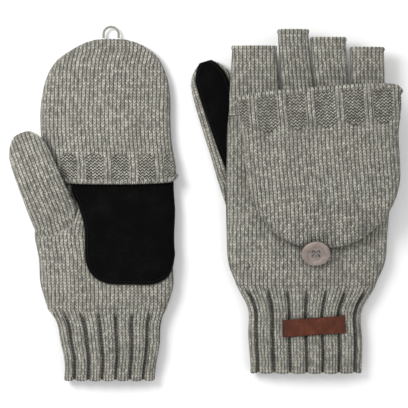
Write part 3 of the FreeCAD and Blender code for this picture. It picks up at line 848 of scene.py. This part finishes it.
def mitten(side, pitch, phase, seed):
    body = f"{side}_mitten"
    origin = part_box(f"{side}_cuff")[1].y
    tube(f"{side}_cuff", "rib_knit", wide_rib(pitch, phase), body, fan=True, origin=origin,
         roll=(0.3 * MM, 0), seed=seed, thick_end=(True, False))
    tube(f"{side}_hand", "wool_knit", stockinette, body, origin=origin, seed=seed + 3, close_end=True,
         bridged=True, thick_end=(False, True))


mitten("left", 13.4 * MM, 0.5, 10)
mitten("right", 15.4 * MM, 0.0, 50)
cap_and_band("left", UP_ROW, 19.8 * MM, 0.5, 20)
cap_and_band("right", BACK_ROW, 21.6 * MM, 0.2, 60)
for side, shown, whole in (("left", 0, 36 * MM), ("right", 1, 20 * MM)):
    node = f"{side}_thumb"
    tube(node, "wool_knit", stockinette, node, along=turned_row(THUMB_LEAN[side]), trim=(4 * MM, 0),
         closed_tip=True, seed=30, thick_end=(False, False), root=(shown, whole, 7 * MM))
for side in ("left", "right"):
    for k, finger in enumerate(("index", "middle", "ring", "little")):
        node = f"{side}_{finger}_finger"
        tube(node, "wool_knit", stockinette, "left_mitten" if side == "left" else node, wall=FINGER_WALL,
             roll=(0, 0.7 * MM), seed=40 + k, thick_end=(False, True), trim=(-4 * MM, 0))


# ---------------------------------------------------------------- patches and labels
def outline_of(skin, side, count):
    """Points (across, along) round the edge of a sheet as seen from one side, evenly spaced."""
    middle = (skin.low[:2] + skin.high[:2]) / 2
    rough = []
    for angle in np.linspace(0, 2 * math.pi, 720, endpoint=False):
        ray = np.array([math.cos(angle), math.sin(angle)])
        near, far = 0.0, 0.1
        for _ in range(13):
            half = (near + far) / 2
            if skin.height(*(middle + ray * half), side) is None:
                far = half
            else:
                near = half
        rough.append(middle + ray * near)
    rough.append(rough[0])
    return middle, respaced(np.array(rough), count + 1)[0][:-1]


def sheet(node, slot, body, side, thick, along=UP_ROW, groove=0.0, pucker=0.0, seed=1):
    """A sewn-on sheet with rounded edges, a channel along them and slight puckers between the stitches."""
    skin = Skin([node], along)
    count = SHEET_POINTS
    middle, edge = outline_of(skin, side, count)
    radius = np.linalg.norm(edge - middle, axis=1)
    near_edge = [0.0, 0.08, 0.25, 0.5, 0.8, 1.2, 1.6, 2.0, 2.4, 2.8, 3.3, 3.9]
    insets = np.concatenate([near_edge, np.linspace(4.8, 60, 40)]) * MM
    shares = [1 - np.minimum(inset, radius) / radius for inset in insets]
    spots, heights, edge_wear_and_shade = [], [], []
    edge_run = np.arange(count) * np.linalg.norm(np.roll(edge, -1, 0) - edge, axis=1)
    last = None
    for inset, share in zip(insets, shares):
        spot = middle + (edge - middle) * share[:, None]
        inner = middle + (edge - middle) * np.minimum(share, 1 - 0.3 * MM / radius)[:, None]
        found = [skin.height(a, s, side) for a, s in inner]
        level = np.array([np.nan if h is None else h for h in found])
        if np.isnan(level).any():
            known = np.flatnonzero(~np.isnan(level))
            level = np.interp(np.arange(count), known, level[known], period=count) if len(known) else last
        last = level
        a, s = spot.T
        round_off = SHEET_EDGE * (1 - math.sqrt(1 - (1 - min(inset / (0.8 * MM), 1)) ** 2))
        channel = groove * math.exp(-((inset - SEAM_IN) / (0.6 * MM)) ** 2)
        puckers = pucker * np.cos(2 * math.pi * edge_run / PUCKER_PITCH)
        puckers = puckers * math.exp(-((inset - 0.9 * MM) / (1.0 * MM)) ** 2)
        waves = 0.12 * MM * unevenness(a, s, 30 * MM, seed) * smoothstep(inset / (4 * MM))
        spots.append(spot)
        heights.append(level + side * (waves + puckers - round_off - channel))
        # Edge mask: a lighter rubbed edge on the suede, and painted shade where a leather label's edge
        # rounds down.
        edge_wear_and_shade.append(np.full(count, 0.5 * max(0.0, 1 - inset / (0.9 * MM))))
    spots.append(spots[0])
    heights.append(heights[0] - side * (thick - SHEET_EDGE))
    edge_wear_and_shade.append(np.zeros(count))
    rings = [np.stack([p[:, 0], p[:, 1], h], 1) @ skin.basis for p, h in zip(spots, heights)]
    order = [len(rings) - 1] + list(range(len(rings) - 1))
    k = np.arange(count)
    quads = []
    for first, second in zip(order, order[1:]):
        quads.append(np.stack([first * count + k, first * count + (k + 1) % count,
                               second * count + (k + 1) % count, second * count + k], 1))
    quads = np.concatenate(quads)
    if side < 0:
        quads = quads[:, ::-1]
    values = {"edge_wear_and_shade": np.concatenate(edge_wear_and_shade), "dark": np.concatenate(edge_wear_and_shade)}
    obj = mesh_object(node, np.concatenate(rings), quads, None, **values)
    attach(dress(obj, slot, node), body)


LABEL_TURN = math.radians(3.8)
for side, face in (("left", 1), ("right", -1)):
    sheet(f"{side}_palm_patch", "suede", f"{side}_mitten", face, SUEDE, groove=0.25 * MM,
          pucker=0.08 * MM, seed=71)
for side, face in (("left", -1), ("right", 1)):
    sheet(f"{side}_thumb_patch", "suede", f"{side}_thumb", face, SUEDE, turned_row(THUMB_LEAN[side]),
          groove=0.25 * MM, pucker=0.08 * MM, seed=72)
for side, face, turn in (("left", -1, 0.0), ("right", 1, LABEL_TURN)):
    sheet(f"{side}_label", "label_leather", f"{side}_mitten", face, LEATHER, turned_row(turn),
          groove=0.12 * MM, seed=73)


# ---------------------------------------------------------------- stitches and loops
def islands(mesh):
    """The separate parts of a mesh, each as an array of its points."""
    count = len(mesh.vertices)
    group = np.arange(count)
    edges = np.array([edge.vertices[:] for edge in mesh.edges])
    while True:
        lowest = np.minimum(group[edges[:, 0]], group[edges[:, 1]])
        after = group.copy()
        np.minimum.at(after, edges[:, 0], lowest)
        np.minimum.at(after, edges[:, 1], lowest)
        if (after == group).all():
            break
        group = after
    places = np.array([v.co[:] for v in mesh.vertices])
    return [places[group == g] for g in np.unique(group)]


def plied(centres, across, lift, radius, sides):
    """Rings round a line of points, as a yarn of two plies: the section has two lobes, which turn."""
    rings = []
    angle = np.linspace(0, 2 * math.pi, sides, endpoint=False)
    run = np.concatenate([[0], np.cumsum(np.linalg.norm(np.diff(centres, axis=0), axis=1))])
    for i, centre in enumerate(centres):
        turn = run[i] / (6.0 * radius) * 2 * math.pi
        size = radius * (0.78 + 0.22 * np.abs(np.cos(angle - turn)))
        rings.append(centre + np.outer(np.cos(angle) * size, across[i])
                     + np.outer(np.sin(angle) * size, lift[i]))
    return np.array(rings)


def joined_rings(rings, start):
    """Quads that join a line of rings, whose first point has the index start."""
    count, sides = rings.shape[:2]
    k = np.arange(sides)
    quads = [np.stack([start + r * sides + k, start + r * sides + (k + 1) % sides,
                       start + (r + 1) * sides + (k + 1) % sides, start + (r + 1) * sides + k], 1)
             for r in range(count - 1)]
    return np.concatenate(quads)


def stitching(node, slot, body, finish=None):
    """Plump stitches of twisted thread that thin out at both ends, one for each of the CAD node's."""
    verts, quads, start = [], [], 0
    for spots in islands(nodes[node].data):
        middle = spots.mean(0)
        axes = np.linalg.svd(spots - middle)[2]
        reach = np.abs((spots - middle) @ axes.T).max(0)
        t = np.linspace(-1, 1, 11)
        centres = middle + np.outer(t * reach[0], axes[0])
        size = reach[1] * np.sqrt(np.clip(1 - t ** 4, 0.02, 1))
        rings = []
        for i, centre in enumerate(centres):
            angle = np.linspace(0, 2 * math.pi, 10, endpoint=False)
            lobe = size[i] * (0.86 + 0.14 * np.abs(np.cos(angle - t[i] * 2.4)))
            rings.append(centre + np.outer(np.cos(angle) * lobe, axes[1])
                         + np.outer(np.sin(angle) * lobe, axes[2]))
        rings = np.array(rings)
        verts.append(rings.reshape(-1, 3))
        quads.append(joined_rings(rings, start))
        start += rings.shape[0] * rings.shape[1]
    obj = mesh_object(node, np.concatenate(verts), np.concatenate(quads))
    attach(dress(obj, slot, node, finish=finish), body)


def yarn_loop(side, slot, finish):
    """The loop at the cap's tip: two legs and a bow of twisted yarn."""
    node = f"{side}_cap_loop"
    joint = joints[f"{side}_loop_bend"]
    places = np.array([v.co[:] for v in nodes[node].data.vertices])
    base, across = np.array(joint["pos_m"]), np.array(joint["axis"], float)
    across /= np.linalg.norm(across)
    middle = places.mean(0)
    base = base + across * ((middle - base) @ across)
    ahead = middle - base
    ahead /= np.linalg.norm(ahead)
    up = np.cross(across, ahead)
    wide = np.ptp((places - base) @ across)
    thick = np.ptp((places - base) @ up) / 2
    far = ((places - base) @ ahead).max()
    near = ((places - base) @ ahead).min()
    bow = wide / 2 - thick
    leg = np.linspace(near, far - thick - bow, 8)[:, None] * ahead
    arc = np.linspace(0, math.pi, 40)[1:-1]
    bend = bow * (np.outer(np.cos(arc), across) + np.outer(np.sin(arc), ahead))
    bend = bend + (far - thick - bow) * ahead
    line = base + np.concatenate([leg + bow * across, bend, leg[::-1] - bow * across])
    tangent = np.gradient(line, axis=0)
    tangent /= np.linalg.norm(tangent, axis=1, keepdims=True)
    lift = np.repeat(up[None], len(line), 0)
    rings = plied(line, np.cross(tangent, lift), lift, thick, sides=16)
    obj = mesh_object(node, rings.reshape(-1, 3), joined_rings(rings, 0))
    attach(dress(obj, slot, node, finish=finish), f"{side}_loop")


for side in ("left", "right"):
    stitching(f"{side}_palm_stitching", "stitching_thread", f"{side}_mitten")
    stitching(f"{side}_thumb_stitching", "stitching_thread", f"{side}_thumb")
    stitching(f"{side}_label_stitching", "label_thread", f"{side}_mitten")
    stitching(f"{side}_cap_seam", "wool_knit", f"{side}_mitten", "wool_yarn")
    yarn_loop(side, "wool_knit", "wool_yarn")


# ---------------------------------------------------------------- buttons
HOLE_SCAN = 0.2                              # spacing of the rays that find the holes, mm
HOLE_APART = 2.2 * MM                        # rays further apart than this passed different holes
DISC_SIDES = 12


def hole_shades(side):
    """Dark discs down in the button's four holes, where no light reaches the threads."""
    joint = joints[f"{side}_button_turn"]
    centre, axis = Vector(joint["pos_m"]), Vector(joint["axis"]).normalized()
    mesh = nodes[f"{side}_button"].data
    face = -1 if side == "left" else 1
    axis = axis * (1 if axis.z * face > 0 else -1)
    top = max((v.co - centre).dot(axis) for v in mesh.vertices)
    first = axis.orthogonal().normalized()
    second = axis.cross(first)
    tree = BVHTree.FromPolygons([v.co for v in mesh.vertices], [p.vertices[:] for p in mesh.polygons])
    clusters = []
    for a in np.arange(-4, 4.01, HOLE_SCAN) * MM:
        for b in np.arange(-4, 4.01, HOLE_SCAN) * MM:
            start = centre + first * a + second * b + axis * (top + 0.02)
            if tree.ray_cast(start, -axis)[0] is not None:
                continue
            for cluster in clusters:
                if math.hypot(cluster[0][0] - a, cluster[0][1] - b) < HOLE_APART:
                    cluster.append((a, b))
                    break
            else:
                clusters.append([(a, b)])
    verts, quads = [], []
    for cluster in clusters:
        a, b = np.mean(cluster, 0)
        radius = math.sqrt(len(cluster) / math.pi) * HOLE_SCAN * MM * 1.05
        begin = len(verts)
        for depth in (top - 1.1 * MM, top - 1.3 * MM):
            for step in range(DISC_SIDES):
                turn = 2 * math.pi * step / DISC_SIDES
                out, up = a + radius * math.cos(turn), b + radius * math.sin(turn)
                verts.append(centre + first * out + second * up + axis * depth)
        for level in (begin, begin + DISC_SIDES):
            quads += [[level + i, level + i + 1, level + 10 - i, level + 11 - i] for i in range(5)]
        for i in range(DISC_SIDES):
            after = (i + 1) % DISC_SIDES
            quads.append([begin + i, begin + after, begin + DISC_SIDES + after, begin + DISC_SIDES + i])
    obj = mesh_object(f"{side}_button_hole_shades", [tuple(v) for v in verts], quads)
    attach(dress(obj, "button_thread", finish="stitching_thread"), f"{side}_button")


# The buttons, their threads and shanks keep their CAD shapes.
for side in ("left", "right"):
    for node, slot in (("button", "button_plastic"), ("button_thread", "button_thread"),
                       ("button_shank", "button_thread")):
        dress(nodes[f"{side}_{node}"], slot)
    hole_shades(side)

# ---------------------------------------------------------------- camera, light and floor
CAMERA_HEIGHT = 1.048
camera = bpy.data.objects.new("camera", bpy.data.cameras.new("camera"))
bpy.context.collection.objects.link(camera)
camera.location = (-0.0002, -0.0016, CAMERA_HEIGHT)
camera.data.lens = 120
camera.data.sensor_width = 36
camera.data.clip_start = 0.01
bpy.context.scene.camera = camera

floor_mesh = bpy.data.meshes.new("floor")
floor_mesh.from_pydata([(-3, -3, 0), (3, -3, 0), (3, 3, 0), (-3, 3, 0)], [], [(0, 1, 2, 3)])
floor = bpy.data.objects.new("floor", floor_mesh)
bpy.context.collection.objects.link(floor)
floor.location.z = -0.6 * MM
white, _, shader = new_material("floor")
shader.inputs["Base Color"].default_value = (0.92, 0.92, 0.92, 1)
shader.inputs["Roughness"].default_value = 0.9
floor_mesh.materials.append(white)

world = bpy.data.worlds.new("studio")
bpy.context.scene.world = world
world.use_nodes = True
world.node_tree.nodes["Background"].inputs["Color"].default_value = (1, 1, 1, 1)
world.node_tree.nodes["Background"].inputs["Strength"].default_value = 0.78


def lamp(name, place, size, power):
    data = bpy.data.lights.new(name, "AREA")
    data.shape, data.size, data.energy = "DISK", size, power
    obj = bpy.data.objects.new(name, data)
    bpy.context.collection.objects.link(obj)
    obj.location = place
    obj.rotation_euler = (-Vector(place)).to_track_quat("-Z", "Y").to_euler()


lamp("key", (-0.45, 0.3, 0.6), 0.4, 4.6)
lamp("fill", (0.9, -0.4, 1.0), 1.2, 1.5)
bpy.context.scene.view_settings.view_transform = "Standard"
